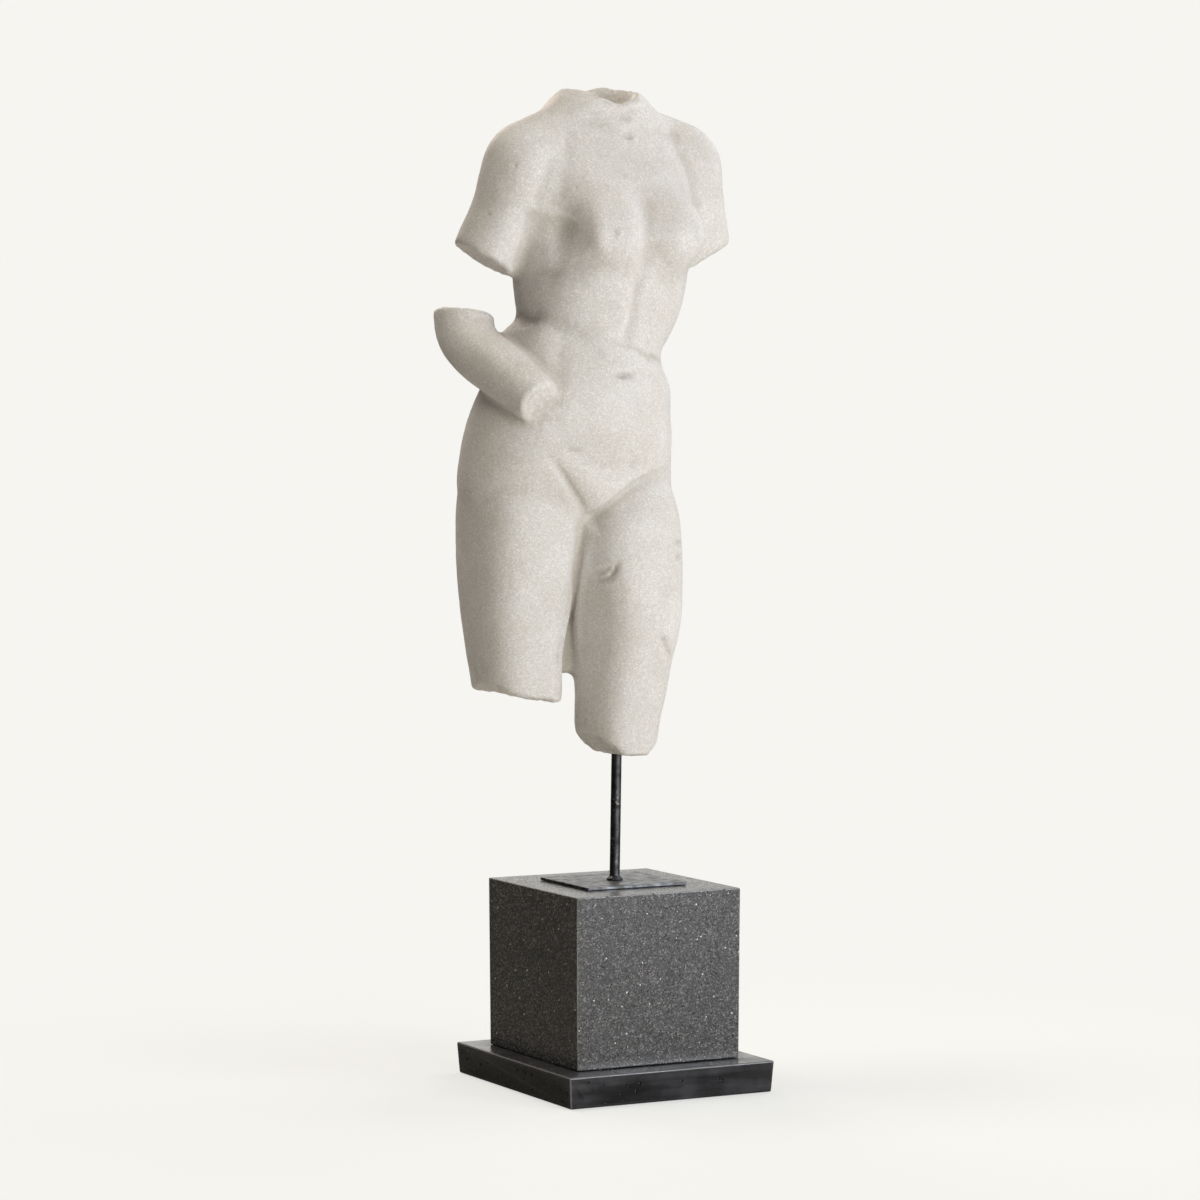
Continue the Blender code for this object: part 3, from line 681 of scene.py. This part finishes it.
def make_slab():
    """The slab, with air holes along its sides that the casting left."""
    low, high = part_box("base_slab")
    rng = np.random.default_rng(HOLES_SEED)
    bottom, top = low.z + HOLE_EDGE_ROOM, high.z - HOLE_EDGE_ROOM
    left, right = low.x + HOLE_INSET, high.x - HOLE_INSET
    front, back = low.y + HOLE_INSET, high.y - HOLE_INSET
    near, far = low.y + SIDE_CORNER_ROOM, high.y - SIDE_CORNER_ROOM
    back_left, back_right = low.x + BACK_CORNER_ROOM, high.x - BACK_CORNER_ROOM
    patches = [
        ((left, near), (left, far), LEFT_HOLES),
        ((low.x + CLUSTER_START, front), (low.x + CLUSTER_END, front), CLUSTER_HOLES),
        ((low.x + REST_START, front), (back_right, front), REST_HOLES),
        ((right, near), (right, far), RIGHT_HOLES),
        ((back_left, back), (back_right, back), BACK_HOLES),
    ]
    hollows = []
    for start, end, count in patches:
        hollows += scattered(rng, [*start, bottom], [*end, top], count, HOLE_RADII)
    slab = chipped_copy("base_slab", "slab_casting", hollows)
    mark_wear(slab.data, SLAB_DRAFT, SLAB_EDGE, SLAB_WEAR)
    slab.data.materials.append(satin_resin())
    return slab


def make_block():
    """The block, with nicks along its edges."""
    low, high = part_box("plinth_block")
    size = high - low
    hollows = [(low + size * Vector(shares), radius) for shares, radius in BLOCK_NICKS]
    block = chipped_copy("plinth_block", "block_casting", hollows)
    mark_wear(block.data, BLOCK_DRAFT, BLOCK_EDGE, BLOCK_WEAR)
    block.data.materials.append(granular_resin())
    return block


def make_rod():
    """The rod, with a hand-laid bead of weld round its foot."""
    rod = merged_copy("rod", "rod_welded")
    add_modifier(rod, "REMESH", mode="VOXEL", voxel_size=ROD_VOXEL)
    add_modifier(rod, "SMOOTH", factor=0.5, iterations=ROD_EASE_TURNS)
    points = vertex_values(rod.data, "co")
    normals = vertex_values(rod.data, "normal")
    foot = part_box("rod")[0].z
    below_top = np.clip((foot + WELD_TOP - points[:, 2]) / WELD_FADE, 0, 1)
    above_foot = np.clip((points[:, 2] - foot) / WELD_FOOT_FADE, 0, 1)
    weld_height = sum(height for _, height in WELD_WAVES)
    lumps = waves(points / MM, WELD_WAVES, WELD_SEED) - weld_height * WELD_SINK
    scale = waves(points / MM, ROD_WAVES, ROD_SEED) - sum(height for _, height in ROD_WAVES)
    points += normals * ((lumps * below_top * above_foot + scale) * MM)[:, None]
    move_points(rod.data, points)
    rod.data.materials.append(dark_steel("blackened_steel_bar", "3B3B3E", "66676C"))
    rod.data.shade_smooth()
    return rod


def place_camera():
    camera = bpy.data.objects.new("photo_camera", bpy.data.cameras.new("photo_camera"))
    bpy.context.scene.collection.objects.link(camera)
    camera.data.lens = LENS_MM
    camera.data.sensor_width = SENSOR_MM
    back = way_to(CAMERA_BEARING, CAMERA_ELEVATION)
    camera.location = Vector(CAMERA_TARGET) + back * CAMERA_DISTANCE
    camera.rotation_euler = back.to_track_quat("Z", "Y").to_euler()
    bpy.context.scene.camera = camera


def area_light(name, bearing, elevation, power, colour):
    """A square softbox that looks at the figure from a bearing and an elevation in degrees."""
    lamp = bpy.data.lights.new(name, "AREA")
    lamp.size = LIGHT_SIZE
    lamp.energy = power
    lamp.color = linear(colour)[:3]
    light = bpy.data.objects.new(name, lamp)
    bpy.context.scene.collection.objects.link(light)
    back = way_to(bearing, elevation)
    light.location = Vector(LIGHTS_AIM) + back * LIGHT_DISTANCE
    light.rotation_euler = back.to_track_quat("Z", "Y").to_euler()
    light.visible_camera = False
    return light


def light_studio():
    scene = bpy.context.scene
    scene.view_settings.view_transform = "Standard"
    world = bpy.data.worlds.new("studio")
    scene.world = world
    world.use_nodes = True
    tree = world.node_tree
    tree.nodes.clear()
    seen = add_node(tree, "ShaderNodeBackground", {"Color": linear(BACKDROP), "Strength": 1.0})
    fill = add_node(tree, "ShaderNodeBackground", {"Color": linear(WORLD_COLOUR), "Strength": WORLD_FILL})
    rays = add_node(tree, "ShaderNodeLightPath")
    mixed = add_node(
        tree,
        "ShaderNodeMixShader",
        {0: rays.outputs["Is Camera Ray"], 1: fill.outputs[0], 2: seen.outputs[0]},
    )
    add_node(tree, "ShaderNodeOutputWorld", {"Surface": mixed.outputs[0]})
    for light in LIGHTS:
        area_light(*light)
    card = area_light(*REFLECTOR)
    card.visible_diffuse = False
    card.visible_transmission = False


def make_floor():
    """A pale sweep of paper. Lit, it matches the plain backdrop, so that only the soft shadows show."""
    deselect_all()
    bpy.ops.mesh.primitive_circle_add(
        vertices=96, radius=FLOOR_RADIUS, fill_type="NGON", location=(0, 0, -FLOOR_DROP)
    )
    floor = bpy.context.active_object
    floor.name = "floor"
    made = bpy.data.materials.new("pale_floor")
    made.use_nodes = True
    tree = made.node_tree
    tree.nodes.clear()
    place = add_node(tree, "ShaderNodeTexCoord").outputs["Object"]
    reach = add_node(tree, "ShaderNodeVectorMath", {0: place}, operation="LENGTH")
    far = add_node(
        tree,
        "ShaderNodeMapRange",
        {"Value": reach.outputs["Value"], "From Min": FLOOR_NEAR, "From Max": FLOOR_FAR},
        interpolation_type="SMOOTHSTEP",
    )
    rays = add_node(tree, "ShaderNodeLightPath")
    shown = add_node(
        tree,
        "ShaderNodeMath",
        {0: far.outputs["Result"], 1: rays.outputs["Is Camera Ray"]},
        operation="MULTIPLY",
    )
    mirrored = add_node(
        tree,
        "ShaderNodeMix",
        {"Factor": rays.outputs["Is Glossy Ray"], 6: linear(FLOOR_PAPER), 7: linear(FLOOR_SHINE)},
        data_type="RGBA",
    )
    tone = add_node(
        tree,
        "ShaderNodeMix",
        {"Factor": rays.outputs["Is Camera Ray"], 6: mirrored.outputs[2], 7: linear(FLOOR_SEEN)},
        data_type="RGBA",
    )
    paper = add_node(tree, "ShaderNodeBsdfDiffuse", {"Color": tone.outputs[2]})
    lift = add_node(
        tree, "ShaderNodeEmission", {"Color": linear(FLOOR_GLOW), "Strength": rays.outputs["Is Camera Ray"]}
    )
    near = add_node(tree, "ShaderNodeAddShader", {0: paper.outputs[0], 1: lift.outputs[0]})
    glow = add_node(tree, "ShaderNodeEmission", {"Color": linear(BACKDROP), "Strength": 1.0})
    mixed = add_node(
        tree, "ShaderNodeMixShader", {0: shown.outputs[0], 1: near.outputs[0], 2: glow.outputs[0]}
    )
    add_node(tree, "ShaderNodeOutputMaterial", {"Surface": mixed.outputs[0]})
    floor.data.materials.append(made)


def dress_node(name, finish):
    """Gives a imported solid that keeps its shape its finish."""
    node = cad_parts[name]
    node.data.materials.clear()
    node.data.materials.append(finish)


place_camera()
light_studio()
make_floor()

for make, node, slot in (
    (make_torso, "torso", "marble_resin"),
    (make_rod, "rod", "rod_steel"),
    (make_block, "plinth_block", "block_resin"),
    (make_slab, "base_slab", "slab_resin"),
):
    piece = make()
    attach(piece, "root")
    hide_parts(node)

dress_node("mounting_plate", dark_steel("blackened_steel_plate", "55534F", "8A8E96"))
